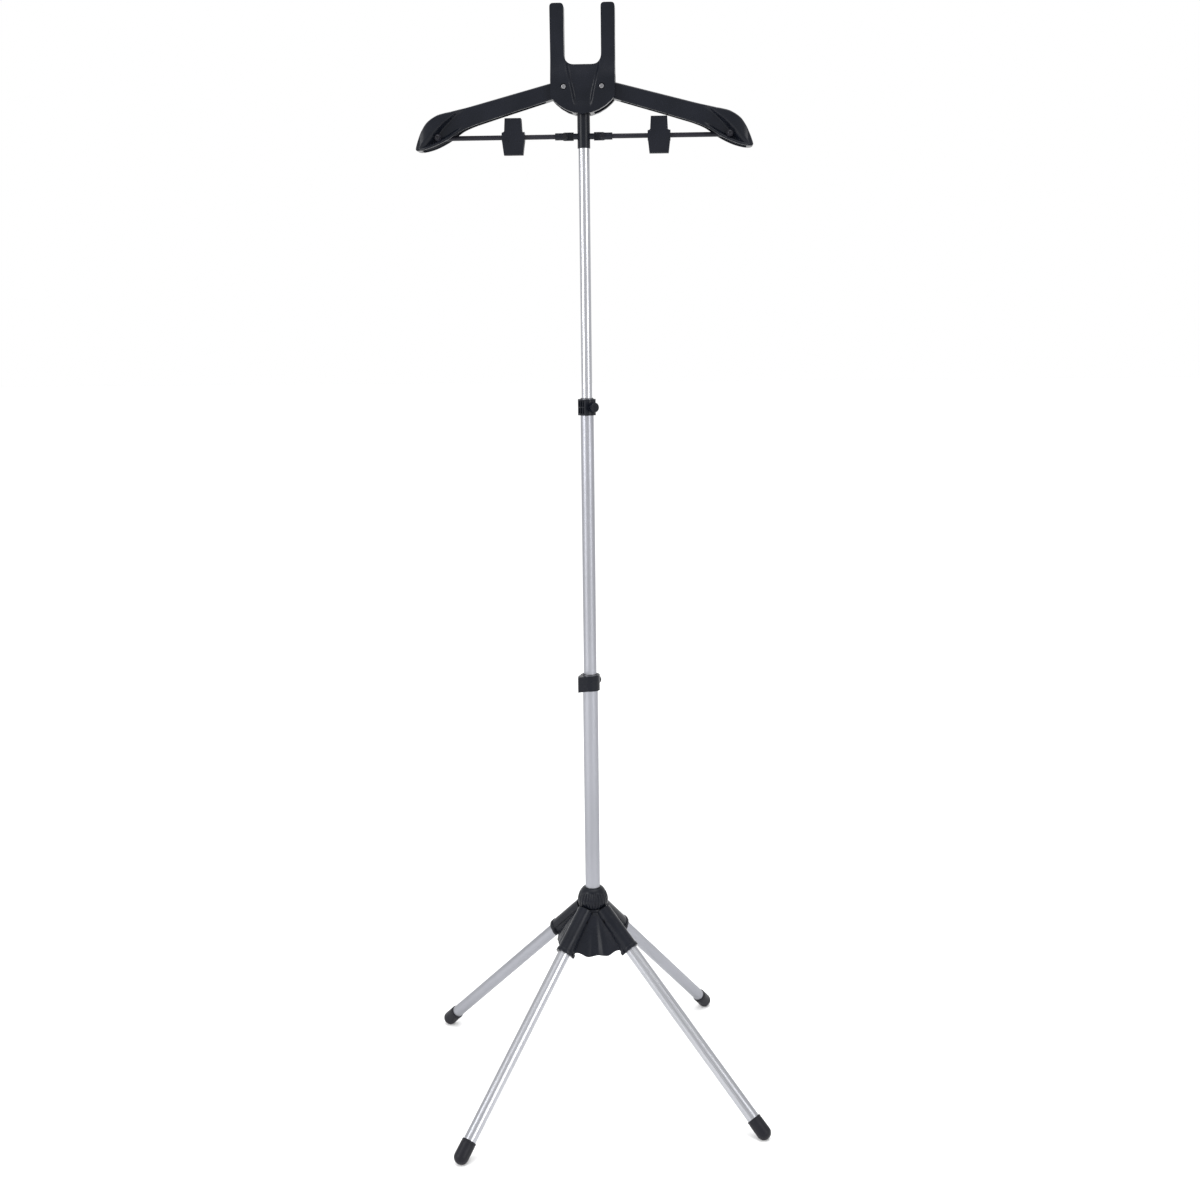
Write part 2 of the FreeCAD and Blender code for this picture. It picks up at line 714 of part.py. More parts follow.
def make_rods():
    """Cross rods: round bars whose inner ends are flat-backed, so that they pass in front of the lugs."""
    level = size("rod_height")
    pivot = size("arm_pivot_x")
    tip = size("rod_tip_x")
    radius = size("rod_radius")
    end = size("rod_end_radius")
    gap = size("free_gap") / 2
    bar_start = pivot + 9
    ferrule_end = pivot + 11.5
    round_from = pivot + 20
    ahead = block((0, -20, level - 20), (60, -gap, level + 20))
    flat_bar = cylinder(radius, Vector(bar_start, 0, level), Vector(round_from, 0, level)).common(ahead)
    bar = union([flat_bar, cylinder(radius, Vector(round_from, 0, level), Vector(tip, 0, level))])
    sleeve = cylinder(4.0, Vector(tip, -12.3, level), Vector(tip, 12.3, level))
    bore = cylinder(size("tip_pin_radius") + size("running_gap"), Vector(tip, -20, level),
                    Vector(tip, 20, level))
    rod = union([bar, sleeve]).cut(bore)

    tongue = cylinder(end, Vector(pivot, 0, level), Vector(ferrule_end, 0, level)).common(ahead)
    eye = cylinder(end, Vector(pivot, -end, level), Vector(pivot, -gap, level)).common(
        cylinder(end, Vector(pivot - end, 0, level), Vector(pivot + end, 0, level)))
    hole = cylinder(size("tip_pin_radius"), Vector(pivot, -20, level), Vector(pivot, 20, level))
    ferrule = union([tongue, eye]).cut([hole, bar])
    screw = cylinder(size("tip_pin_radius"), Vector(pivot, -end - 0.1, level), Vector(pivot, -gap, level))
    screw = screw.fuse(cylinder(2.4, Vector(pivot, -end - 1.0, level), Vector(pivot, -end - 0.05, level)))
    for name, shape in (("rod", rod), ("rod_end", ferrule), ("rod_screw", screw)):
        feature(f"right_{name}", shape)
        feature(f"left_{name}", mirrored(shape))


# ---------------------------------------------------------------- trouser clips
def jaw_shape(front, knuckle_start, knuckle_end):
    """One leaf of a clip about the rod: handle above, jaw below, a ring at each end of the hinge."""
    ring = size("hub_ring_radius")
    bush = 4.2 + size("running_gap")
    handle = size("handle_half_width")
    jaw = size("jaw_half_width")
    wide = size("clip_half_width")
    top = size("handle_height")
    low = size("jaw_depth")
    leaf_section = [(3.3, top - 0.6), (4.9, top), (5.1, top - 1), (6.1, 5.5), (6.6, 0), (6.1, -6),
                    (4.4, -low + 1), (3.4, -low), (1.7, -low), (1.7, -low + 7), (4.4, -6), (4.9, 0),
                    (4.5, 5.5), (3.3, top - 0.6)]
    leaf = prism(lines([Vector(-wide, front * y, z) for y, z in leaf_section]), Vector(2 * wide, 0, 0))
    plan = [(-handle, top + 1), (handle, top + 1), (handle + 0.8, 6.5), (wide, 4.5), (wide, -2),
            (jaw, -low - 1), (-jaw, -low - 1), (-wide, -2), (-wide, 4.5), (-handle - 0.8, 6.5),
            (-handle, top + 1)]
    trim = prism(lines([Vector(x, -20, z) for x, z in plan]), Vector(0, 40, 0))
    leaf = leaf.common(trim)
    other_ring = cylinder(ring + 0.35, Vector(-wide - 1, 0, 0), Vector(wide + 1, 0, 0))
    parts = [leaf.cut(other_ring)]
    for side in (-1, 1):
        start = Vector(side * knuckle_start, 0, 0)
        end = Vector(side * knuckle_end, 0, 0)
        web = block((min(start.x, end.x), min(front * 2.0, front * 6.4), -5),
                    (max(start.x, end.x), max(front * 2.0, front * 6.4), 5.2))
        parts.append(cylinder(ring, start, end).fuse(web))
    hole = cylinder(bush, Vector(-30, 0, 0), Vector(30, 0, 0))
    return union(parts).cut(hole)


def pad_shape(front):
    """Rubber pad on the inside of one jaw."""
    low = size("jaw_depth")
    half = size("jaw_half_width") - 0.8
    faces = sorted((front * 0.15, front * 1.7))
    return block((-half, faces[0], -low + 0.3), (half, faces[1], -low + 6.7))


def spring_shape():
    """Torsion spring: coils round the bush and two legs that push the handles apart."""
    inner = 4.45
    outer = 5.6
    half = 4.0
    coil = cylinder(outer, Vector(-half, 0, 0), Vector(half, 0, 0))
    coil = coil.cut(cylinder(inner, Vector(-9, 0, 0), Vector(9, 0, 0)))
    legs = [cylinder(0.5, Vector(side * 3.2, side * 4.1, 3.4), Vector(side * 3.2, side * 2.8, 15))
            for side in (-1, 1)]
    hollow = cylinder(inner, Vector(-9, 0, 0), Vector(9, 0, 0))
    return union([coil] + legs).cut(hollow)


def make_clips():
    wide = size("clip_half_width")
    bush = cylinder(4.2, Vector(-wide, 0, 0), Vector(wide, 0, 0)).cut(
        cylinder(size("rod_radius") + size("running_gap"), Vector(-30, 0, 0), Vector(30, 0, 0)))
    middle_gap = 9.0
    pieces = {
        "clip_bush": bush,
        "clip_back": jaw_shape(1, middle_gap + 0.3, wide),
        "clip_front": jaw_shape(-1, 4.6, middle_gap),
        "clip_spring": spring_shape(),
        "pad_back": pad_shape(1),
        "pad_front": pad_shape(-1),
    }
    for side in ("left", "right"):
        place = Placement(Vector(size(f"{side}_clip_x"), 0, size("rod_height")), Rotation())
        for name, shape in pieces.items():
            feature(f"{side}_{name}", shape.copy(), place)


# ---------------------------------------------------------------- build, check and write
def check_and_write():
    doc.recompute()
    for item in doc.Objects:
        if "Invalid" in item.State or "Error" in item.State:
            raise RuntimeError(f"{item.Name} did not build: {item.State}")
    os.makedirs("parts", exist_ok=True)
    for item in exported:
        shape = item.Shape
        if shape.isNull() or not shape.isValid() or not shape.Solids:
            raise RuntimeError(f"{item.Label} is not a valid solid")
        box = shape.BoundBox
        print(f"{item.Label:24s} solids {len(shape.Solids)} volume {shape.Volume:9.0f} "
              f"x {box.XMin:7.1f} {box.XMax:7.1f} y {box.YMin:7.1f} {box.YMax:7.1f} "
              f"z {box.ZMin:7.1f} {box.ZMax:7.1f}")
        shape.exportStep(f"parts/{item.Label}.step")
    print(len(exported), "nodes")


def print_folding():
    """How far the hanger's pieces turn when it closes like an umbrella."""
    across = size("rod_tip_x") - size("arm_pivot_x")
    drop = size("arm_pivot_z") - size("rod_height")
    open_angle = math.atan2(drop, across)
    closed_angle = math.radians(size("closed_angle"))
    length = math.hypot(across, drop)
    rod_turn = math.acos(length * math.cos(closed_angle) / across)
    travel = length * (math.sin(closed_angle) - math.sin(open_angle)) + across * math.sin(rod_turn)
    arm_turn = closed_angle - open_angle
    print("leg fold", round(90 - leg_slope(), 3), "leg pivot height",
          round(size("cross_height") - size("pivot_reach") * math.tan(math.radians(leg_slope())), 3))
    print("arm turn", round(math.degrees(arm_turn), 3), "rod turn on arm",
          round(math.degrees(arm_turn + rod_turn), 3), "runner travel", round(travel, 3))


make_legs()
make_hub()
make_collet()
make_collar_nut()
make_pole()
make_head()
make_arms()
make_runner()
make_rods()
make_clips()
check_and_write()
print_folding()
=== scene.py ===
"""Free-standing folding garment stand with a trouser-clip hanger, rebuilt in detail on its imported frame.

Helpers take millimetres in the frame's own axes: X along the hanger, -Y to the front, +Z up.
"""
import json
import math

import bmesh
import bpy
from mathutils import Matrix, Vector


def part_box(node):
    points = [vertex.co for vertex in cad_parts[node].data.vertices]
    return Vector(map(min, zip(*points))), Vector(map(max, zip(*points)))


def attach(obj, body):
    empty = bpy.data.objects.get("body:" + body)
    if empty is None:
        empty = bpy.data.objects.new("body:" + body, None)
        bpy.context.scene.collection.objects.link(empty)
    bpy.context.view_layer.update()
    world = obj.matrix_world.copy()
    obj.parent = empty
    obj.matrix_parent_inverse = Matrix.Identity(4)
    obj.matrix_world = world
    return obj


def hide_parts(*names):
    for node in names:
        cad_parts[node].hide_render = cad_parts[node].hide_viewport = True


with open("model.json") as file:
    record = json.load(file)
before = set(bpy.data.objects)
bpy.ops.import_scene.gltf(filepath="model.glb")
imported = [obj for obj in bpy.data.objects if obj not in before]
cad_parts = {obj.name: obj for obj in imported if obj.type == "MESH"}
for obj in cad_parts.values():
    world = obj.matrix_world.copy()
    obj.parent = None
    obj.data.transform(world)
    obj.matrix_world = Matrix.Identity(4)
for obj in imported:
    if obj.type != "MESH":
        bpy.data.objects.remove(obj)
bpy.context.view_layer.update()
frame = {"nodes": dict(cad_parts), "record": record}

MM = 0.001
scene = bpy.context.scene
node_slot = {part["node"]: part["material_slot"] for part in frame["record"]["subparts"]}


def node_box(name):
    """A CAD node's lowest and highest corner, in millimetres."""
    low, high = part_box(name)
    return low / MM, high / MM


# ---------------------------------------------------------------- materials
def shader_graph(name):
    """A new material with its node tree and its Principled shader."""
    material = bpy.data.materials.new(name)
    material.use_nodes = True
    tree = material.node_tree
    return material, tree, tree.nodes["Principled BSDF"]


def noise_at(tree, scale, detail, stretch=(1, 1, 1)):
    """Noise in the piece's own coordinates; stretch squeezes it along an axis."""
    where = tree.nodes.new("ShaderNodeTexCoord")
    mapping = tree.nodes.new("ShaderNodeMapping")
    mapping.inputs["Scale"].default_value = stretch
    noise = tree.nodes.new("ShaderNodeTexNoise")
    noise.inputs["Scale"].default_value = scale
    noise.inputs["Detail"].default_value = detail
    tree.links.new(where.outputs["Object"], mapping.inputs["Vector"])
    tree.links.new(mapping.outputs["Vector"], noise.inputs["Vector"])
    return noise.outputs["Fac"]


def spread(tree, value, low, high):
    """Maps the middle of a noise to a range of numbers."""
    remap = tree.nodes.new("ShaderNodeMapRange")
    remap.inputs["From Min"].default_value = 0.3
    remap.inputs["From Max"].default_value = 0.7
    remap.inputs["To Min"].default_value = low
    remap.inputs["To Max"].default_value = high
    tree.links.new(value, remap.inputs["Value"])
    return remap.outputs["Result"]


def colour_between(tree, value, first, second):
    """Blends two colours by a noise."""
    ramp = tree.nodes.new("ShaderNodeValToRGB")
    ramp.color_ramp.elements[0].position = 0.35
    ramp.color_ramp.elements[0].color = (*first, 1)
    ramp.color_ramp.elements[1].position = 0.65
    ramp.color_ramp.elements[1].color = (*second, 1)
    tree.links.new(value, ramp.inputs["Fac"])
    return ramp.outputs["Color"]


def add_bump(tree, shader, value, strength, depth):
    """Lets a noise raise and lower the shader's surface by up to depth metres."""
    bump = tree.nodes.new("ShaderNodeBump")
    bump.inputs["Strength"].default_value = strength
    bump.inputs["Distance"].default_value = depth
    tree.links.new(value, bump.inputs["Height"])
    tree.links.new(bump.outputs["Normal"], shader.inputs["Normal"])


def moulded(name, first, second, smooth, rough, grain_scale, grain_strength):
    """Moulded plastic or rubber: two close tones, an uneven gloss and a fine spark-eroded grain."""
    material, tree, shader = shader_graph(name)
    tone = noise_at(tree, 28, 3)
    tree.links.new(colour_between(tree, tone, first, second), shader.inputs["Base Color"])
    tree.links.new(spread(tree, noise_at(tree, 60, 4), smooth, rough), shader.inputs["Roughness"])
    add_bump(tree, shader, noise_at(tree, grain_scale, 2), grain_strength, 0.00008)
    shader.inputs["Specular IOR Level"].default_value = 0.15
    return material


def drawn_metal(name, first, second, smooth, rough, streak, strength):
    """Metal with fine lines drawn along the piece's own Z, and a slow change of tone."""
    material, tree, shader = shader_graph(name)
    tone = noise_at(tree, 12, 2, (1, 1, 0.35))
    tree.links.new(colour_between(tree, tone, first, second), shader.inputs["Base Color"])
    lines = noise_at(tree, 1400, 3, (1, 1, streak))
    tree.links.new(spread(tree, lines, smooth, rough), shader.inputs["Roughness"])
    add_bump(tree, shader, lines, strength, 0.00002)
    shader.inputs["Metallic"].default_value = 1.0
    return material


MATERIALS = {
    "black_plastic": moulded("black_moulding", (0.004, 0.005, 0.008), (0.006, 0.007, 0.011),
                             0.20, 0.34, 1500, 0.10),
    "inner_plastic": moulded("inner_moulding", (0.04, 0.04, 0.045), (0.06, 0.06, 0.065), 0.5, 0.65, 900, 0.2),
    "aluminium": drawn_metal("satin_anodised", (0.27, 0.275, 0.30), (0.31, 0.315, 0.345),
                             0.34, 0.44, 0.01, 0.10),
    "black_cap": moulded("cap_rubber", (0.007, 0.007, 0.010), (0.011, 0.011, 0.015), 0.32, 0.48, 1100, 0.22),
    "pad_rubber": moulded("pad_rubber", (0.030, 0.030, 0.035), (0.045, 0.045, 0.05), 0.6, 0.8, 700, 0.4),
    "black_rod": moulded("black_paint", (0.008, 0.008, 0.012), (0.013, 0.013, 0.018), 0.24, 0.38, 600, 0.08),
    "steel": drawn_metal("bright_steel", (0.60, 0.60, 0.61), (0.68, 0.68, 0.69), 0.18, 0.30, 0.3, 0.08),
    "brass": drawn_metal("turned_brass", (0.62, 0.46, 0.20), (0.70, 0.54, 0.26), 0.25, 0.38, 0.3, 0.1),
}
# A lighter copy of the satin aluminium, as painted light: it makes the front legs and the upper tube brighter,
# for the lamps that fall on them.
LIT_ALUMINIUM = drawn_metal("lit_aluminium_copy", (0.36, 0.365, 0.39), (0.41, 0.415, 0.44), 0.22, 0.32, 0.01, 0.08)
ZINC = drawn_metal("zinc_plate", (0.20, 0.20, 0.21), (0.26, 0.26, 0.27), 0.25, 0.38, 0.3, 0.08)
DARK_STEEL = drawn_metal("blackened_steel", (0.018, 0.018, 0.022), (0.03, 0.03, 0.034), 0.25, 0.38, 0.3, 0.08)


# ---------------------------------------------------------------- ways of making a mesh
def rounded(corners, steps=4):
    """A closed outline from (across, up, radius) corners, each eased by a short curve."""
    points = []
    count = len(corners)
    for index, (across, up, radius) in enumerate(corners):
        here = Vector((across, up))
        before = Vector(corners[index - 1][:2]) - here
        after = Vector(corners[(index + 1) % count][:2]) - here
        if radius <= 0:
            points.append(here)
            continue
        trim = min(radius / math.tan(before.angle(after) / 2), 0.49 * before.length, 0.49 * after.length)
        start = here + before.normalized() * trim
        end = here + after.normalized() * trim
        for step in range(steps + 1):
            t = step / steps
            points.append(start * (1 - t) ** 2 + here * 2 * t * (1 - t) + end * t * t)
    return points


def new_piece(name, points, faces, matrix=None):
    """A mesh object from points in millimetres, cleaned, with its normals outward."""
    mesh = bpy.data.meshes.new(name)
    mesh.from_pydata([Vector(point) * MM for point in points], [], faces)
    clean(mesh)
    piece = bpy.data.objects.new(name, mesh)
    scene.collection.objects.link(piece)
    if matrix is not None:
        piece.matrix_world = matrix
    return piece


def clean(mesh, reach=1e-7):
    """Merges doubled points, drops empty faces and stray edges, and turns the normals outward."""
    work = bmesh.new()
    work.from_mesh(mesh)
    bmesh.ops.remove_doubles(work, verts=work.verts, dist=reach)
    bmesh.ops.dissolve_degenerate(work, dist=reach, edges=work.edges)
    bmesh.ops.delete(work, geom=[edge for edge in work.edges if not edge.link_faces], context="EDGES")
    bmesh.ops.recalc_face_normals(work, faces=work.faces)
    work.to_mesh(mesh)
    work.free()


def apply_modifiers(piece):
    """Replaces the piece's mesh by what its modifiers make of it."""
    graph = bpy.context.evaluated_depsgraph_get()
    mesh = bpy.data.meshes.new_from_object(piece.evaluated_get(graph))
    piece.modifiers.clear()
    piece.data = mesh


def carve(piece, cutters, how="DIFFERENCE"):
    """Cuts the cutters out of the piece, or joins them to it."""
    for cutter in cutters:
        change = piece.modifiers.new(how.lower(), "BOOLEAN")
        change.operation = how
        change.solver = "EXACT"
        change.object = cutter
    apply_modifiers(piece)
    for cutter in cutters:
        bpy.data.objects.remove(cutter)
    clean(piece.data)
    return piece


def soften(piece, width, steps=2, angle=38):
    """Rounds every sharp edge by a small radius and evens the shading of flat faces."""
    if width > 0:
        bevel = piece.modifiers.new("edges", "BEVEL")
        bevel.width = width * MM
        bevel.segments = steps
        bevel.limit_method = "ANGLE"
        bevel.angle_limit = math.radians(angle)
        apply_modifiers(piece)
        clean(piece.data)
    piece.data.shade_smooth()
    piece.data.set_sharp_from_angle(angle=math.radians(angle))
    evened = piece.modifiers.new("shading", "WEIGHTED_NORMAL")
    evened.keep_sharp = True
    apply_modifiers(piece)
    return piece


def finish_piece(piece, body, *nodes, material=None, slot=None):
    """Gives a piece its finish, the body that it rides on and the CAD nodes that it stands for."""
    slot = slot or node_slot[nodes[0]]
    piece.data.materials.clear()
    piece.data.materials.append(material or MATERIALS[slot])
    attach(piece, body)
    if nodes:
        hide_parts(*nodes)
    return piece


def lathe(name, outline, turns=72, ripple=None, matrix=None):
    """Turns a closed (radius, height) outline round Z; ripple(angle, radius, height) may change the radius."""
    points, faces = [], []
    count = len(outline)
    for turn in range(turns):
        angle = 2 * math.pi * turn / turns
        for radius, height in outline:
            reach = ripple(angle, radius, height) if ripple else radius
            points.append((reach * math.cos(angle), reach * math.sin(angle), height))
        for index in range(count):
            after = (index + 1) % count
            ahead = (turn + 1) % turns * count
            faces.append((turn * count + index, ahead + index, ahead + after, turn * count + after))
    return new_piece(name, points, faces, matrix)


def loft(name, rings, matrix=None):
    """Joins closed rings of equal count one to the next, and fills both ends."""
    count = len(rings[0])
    points = [point for ring in rings for point in ring]
    faces = [tuple(range(count))]
    for step in range(len(rings) - 1):
        for index in range(count):
            after = (index + 1) % count
            base = step * count
            faces.append((base + index, base + count + index, base + count + after, base + after))
    faces.append(tuple(range(len(points) - count, len(points))))
    return new_piece(name, points, faces, matrix)


def prism(name, outline, start, end, axes, matrix=None):
    """A flat outline swept between two depths; axes says which axes are across, up and depth, such as "xzy"."""
    order = [axes.index(axis) for axis in "xyz"]
    rings = [[tuple((across, up, depth)[place] for place in order) for across, up in outline]
             for depth in (start, end)]
    return loft(name, rings, matrix)


def block(name, low, high, matrix=None):
    """A box between two corners, for cuts and small tabs."""
    corners = [(low[0], low[1]), (high[0], low[1]), (high[0], high[1]), (low[0], high[1])]
    return prism(name, corners, low[2], high[2], "xyz", matrix)


def from_cad(name, node, width, steps=2, angle=38):
    """A copy of a CAD node's mesh with its flat faces merged, its seams closed and its edges rounded."""
    mesh = frame["nodes"][node].data.copy()
    if "custom_normal" in mesh.attributes:
        mesh.attributes.remove(mesh.attributes["custom_normal"])
    work = bmesh.new()
    work.from_mesh(mesh)
    bmesh.ops.remove_doubles(work, verts=work.verts, dist=2e-6)
    bmesh.ops.dissolve_limit(work, angle_limit=math.radians(0.6), verts=work.verts, edges=work.edges)
    bmesh.ops.recalc_face_normals(work, faces=work.faces)
    work.to_mesh(mesh)
    work.free()
    piece = bpy.data.objects.new(name, mesh)
    scene.collection.objects.link(piece)
    if width > 0:
        soften(piece, width, steps, angle)
    return piece


def standing(axis, origin):
    """A placement, in metres, whose Z runs along an axis from an origin in millimetres."""
    turn = Vector(axis).to_track_quat("Z", "Y").to_matrix().to_4x4()
    return Matrix.Translation(Vector(origin) * MM) @ turn


# ---------------------------------------------------------------- legs and feet
CROSS_HEIGHT = 252.0
FOOT_REACH = 260.0
FOOT_HEIGHT = 9.0
LEG_TURN = 55.3
LEG_RADIUS = 8.0
LEG_BORE = 7.0
LEG_END = 351.5
PIVOT_REACH = 26.0
PLUG_COLLAR = 10
LEG_SLOPE = math.atan2(CROSS_HEIGHT - FOOT_HEIGHT, FOOT_REACH)
LEGS = {name: LEG_TURN + 90 * quarter
        for quarter, name in enumerate(("back_right", "back_left", "front_left", "front_right"))}


def leg_matrix(azimuth):
    """Local Z runs down the leg from the cross point, local X points down and in, local Y is level."""
    place = Matrix.Translation((0, 0, CROSS_HEIGHT * MM))
    turn = Matrix.Rotation(math.radians(azimuth), 4, "Z")
    return place @ turn @ Matrix.Rotation(math.pi / 2 + LEG_SLOPE, 4, "Y")


def along_leg(reach):
    """The way down the leg's own axis to a level distance from the pole."""
    return reach / math.cos(LEG_SLOPE)


def make_leg(name, azimuth):
    """One leg: its tube, the cap on its foot and the plug in its upper end."""
    matrix = leg_matrix(azimuth)
    body = f"leg_{name}"
    start = along_leg(PIVOT_REACH) + PLUG_COLLAR
    ease = 0.25
    wall = [(LEG_BORE, start, ease), (LEG_RADIUS, start, ease), (LEG_RADIUS, LEG_END, ease),
            (LEG_BORE, LEG_END, ease)]
    tube = lathe(f"{body}_tube", rounded(wall, 2), matrix=matrix)
    # The front legs take the lighter copy of the aluminium, a painted highlight for the light that falls on
    # them.
    finish = LIT_ALUMINIUM if name.startswith("front") else None
    finish_piece(soften(tube, 0, angle=30), body, f"leg_tube_{name}", material=finish)
    finish_piece(make_foot_cap(name, matrix), body, f"foot_cap_{name}")
    plug = from_cad(f"{body}_plug", f"leg_plug_{name}", 0.4)
    finish_piece(plug, body, f"leg_plug_{name}")


def make_foot_cap(name, matrix):
    """Cap with a swollen mouth, a shallow groove and a round end that is flat where it stands."""
    radius = 9.25
    centre = along_leg(FOOT_REACH)
    mouth = centre - 20
    outline = rounded([(LEG_RADIUS, mouth, 0.3), (radius - 0.15, mouth, 0.7), (radius, mouth + 2.6, 0.3),
                       (radius - 0.35, mouth + 3.0, 0.2), (radius - 0.35, mouth + 3.7, 0.2),
                       (radius, mouth + 4.1, 0.3)], 3)
    dome_steps = 14
    for step in range(dome_steps + 1):
        angle = math.pi / 2 * step / dome_steps
        outline.append((radius * math.cos(angle), centre + radius * math.sin(angle)))
    outline += [(0, LEG_END + 0.1), (LEG_RADIUS, LEG_END + 0.1)]
    cap = lathe(f"leg_{name}_cap", outline, matrix=matrix)
    back = matrix.inverted()
    for vertex in cap.data.vertices:
        spot = matrix @ vertex.co
        if spot.z < 0:
            vertex.co = back @ Vector((spot.x, spot.y, 0))
    return soften(cap, 0, angle=30)


# ---------------------------------------------------------------- hub
SECTOR = 90.0
RIM_LOW = 190.0
RIM_RADIUS = 46.0
SKIRT_TOP = 238.0
SKIRT_NECK = 17.5
SKIRT_WALL = 2.6
PANEL_EDGE = 37.0
RING_TOP = 240.5
MOUTH_REACH = 61.0


def hump(value, width):
    """A bell that is 1 at 0 and fades over the width."""
    return math.exp(-(value / width) ** 2)


def eased(value):
    """Runs smoothly from 0 to 1, and stays there beyond."""
    value = min(max(value, 0.0), 1.0)
    return value * value * (3 - 2 * value)


def off_sector_middle(angle):
    """Degrees from the middle of the panel between two legs."""
    turn = math.degrees(angle) - LEG_TURN - SECTOR / 2
    return (turn + SECTOR / 2) % SECTOR - SECTOR / 2


def rim_height(side):
    """The skirt's lower edge: two lobes with a slight rise between them, and a climb to the sockets."""
    return RIM_LOW + 1.9 * hump(side, 7) + 5.5 * eased((abs(side) - 14) / 18)


def skirt_radius(side, height):
    """Flat panels between the sockets, slightly bowed, with a soft ridge between two flutes."""
    flat = 1 / math.cos(math.radians(min(abs(side), PANEL_EDGE)))
    run = (SKIRT_TOP - height) / (SKIRT_TOP - RIM_LOW)
    radius = SKIRT_NECK + (RIM_RADIUS * flat - SKIRT_NECK) * run + 1.6 * math.sin(math.pi * run)
    relief = run * eased(run * 4)
    return radius + relief * (0.9 * hump(side, 4.5) - 0.8 * hump(abs(side) - 10, 4.0))


def skirt_section(side):
    """The skirt's closed outline from the pole out, over the outside, round the rim and back inside."""
    levels = 26
    foot = rim_height(side)
    inner = 11.0
    section = [(radius, RING_TOP) for radius in (inner, 13.0, 15.0, 16.4, SKIRT_NECK - 0.4)]
    section.append((SKIRT_NECK, RING_TOP - 0.4))
    outside = []
    for level in range(1, levels + 1):
        height = SKIRT_TOP + (foot - SKIRT_TOP) * level / levels
        outside.append((skirt_radius(side, height), height))
    radius, height = outside[-1]
    rim = [(radius - 0.4, height - 0.9), (radius - 1.5, height - 1.2), (radius - 2.4, height - 0.6)]
    inside = [(max(radius - SKIRT_WALL, 14.9), height + 0.4) for radius, height in reversed(outside)]
    sleeve = [(14.0, 236.5), (14.0, 199.5), (13.6, 199.0), (inner, 199.0)]
    return section + outside + rim + inside + sleeve


def make_hub():
    """Skirt with flat panels and a wavy rim, a leg socket at each corner, and a sleeve for the pole."""
    points, faces = [], []
    turns = 180
    for turn in range(turns):
        angle = 2 * math.pi * turn / turns
        section = skirt_section(off_sector_middle(angle))
        first = len(points)
        points += [(radius * math.cos(angle), radius * math.sin(angle), height) for radius, height in section]
        count = len(section)
        for index in range(count):
            after = (index + 1) % count
            ahead = (first + count) % (turns * count)
            faces.append((first + index, ahead + index, ahead + after, first + after))
    hub = new_piece("base_hub_shell", points, faces)
    additions = []
    for azimuth in LEGS.values():
        additions += socket_solids(leg_matrix(azimuth))
    additions += [panel_tab(azimuth + SECTOR / 2) for azimuth in LEGS.values()]
    carve(hub, additions, "UNION")
    nut_floor = RING_TOP + 0.1
    cutters = [channel(leg_matrix(azimuth)) for azimuth in LEGS.values()]
    cutters.append(lathe("nut_room", [(0, nut_floor), (20.6, nut_floor), (20.6, 300), (0, 300)]))
    cutters.append(lathe("bore", [(0, 190), (11.3, 190), (11.3, 300), (0, 300)]))
    cutters.append(block("below", (-90, -90, 120), (90, 90, 182)))
    carve(hub, cutters)
    soften(hub, 0.35, 2, 42)
    finish_piece(hub, "hub", "base_hub")
    neck = lathe("hub_threaded_neck", threaded_neck())
    finish_piece(soften(neck, 0, angle=30), "hub", slot="black_plastic")
    finish_piece(from_cad("leg_pivot_pins", "leg_pins", 0.3, 2, 40), "hub", "leg_pins", material=DARK_STEEL)


def threaded_neck():
    """Outline of the neck that the nut screws on, with its ridges."""
    outline = [(11.1, RING_TOP + 0.1), (14.0, RING_TOP + 0.1)]
    ridges = 6
    pitch = 2.2
    for ridge in range(ridges):
        foot = RING_TOP + 1.2 + pitch * ridge
        outline += [(13.6, foot), (14.4, foot + 0.7), (14.4, foot + 1.1), (13.6, foot + 1.8)]
    return outline + [(13.6, 255.4), (13.1, 256.0), (11.1, 256.0)]


def hood_section(radius, cheek_inset, depth):
    """A socket's outline across the leg: round back, a small step, and two flat cheeks."""
    steps = 24
    side = radius - cheek_inset
    arch = []
    for step in range(steps + 1):
        angle = -math.pi / 2 + math.pi * step / steps
        arch.append((-radius * math.cos(angle), radius * math.sin(angle)))
    return [(depth, -side + 1.2), (depth - 1.2, -side), (1.4, -side), (0.8, -radius)] + arch + [
        (0.8, radius), (1.4, side), (depth - 1.2, side), (depth, side - 1.2)]


def section_at(section, reach):
    """A socket's outline as a ring at a distance down the leg."""
    return [(across, level, reach) for across, level in section]


def socket_solids(matrix):
    """The socket's hood, and the snap collar with two small tabs at its mouth."""
    start = along_leg(15.5)
    mouth = along_leg(MOUTH_REACH)
    hood = hood_section(10.5, 0.7, 9.0)
    soft = hood_section(10.1, 0.6, 8.6)
    body = loft("hood", [section_at(hood, start), section_at(hood, mouth - 0.6),
                         section_at(soft, mouth)], matrix)
    band = hood_section(11.4, 0.2, 9.5)
    slim = hood_section(10.9, 0.2, 9.3)
    collar = loft("collar", [section_at(slim, mouth - 5.0), section_at(band, mouth - 4.4),
                             section_at(band, mouth - 0.7), section_at(slim, mouth - 0.1)], matrix)
    tabs = []
    for near, far in ((-12.4, -9.0), (9.0, 12.4)):
        tabs.append(block("tab", (1.5, near, mouth - 4.2), (6.5, far, mouth - 1.0), matrix))
    return [body, collar] + tabs


def channel(matrix):
    """The space that one leg lies and folds in."""
    radius = LEG_RADIUS + 0.4
    depth = 60
    section = [(depth, -radius), (0, -radius)]
    steps = 20
    for step in range(1, steps):
        angle = -math.pi / 2 + math.pi * step / steps
        section.append((-radius * math.cos(angle), radius * math.sin(angle)))
    section += [(0, radius), (depth, radius)]
    ends = (25.0, along_leg(MOUTH_REACH) + 20)
    return loft("channel", [section_at(section, reach) for reach in ends], matrix)


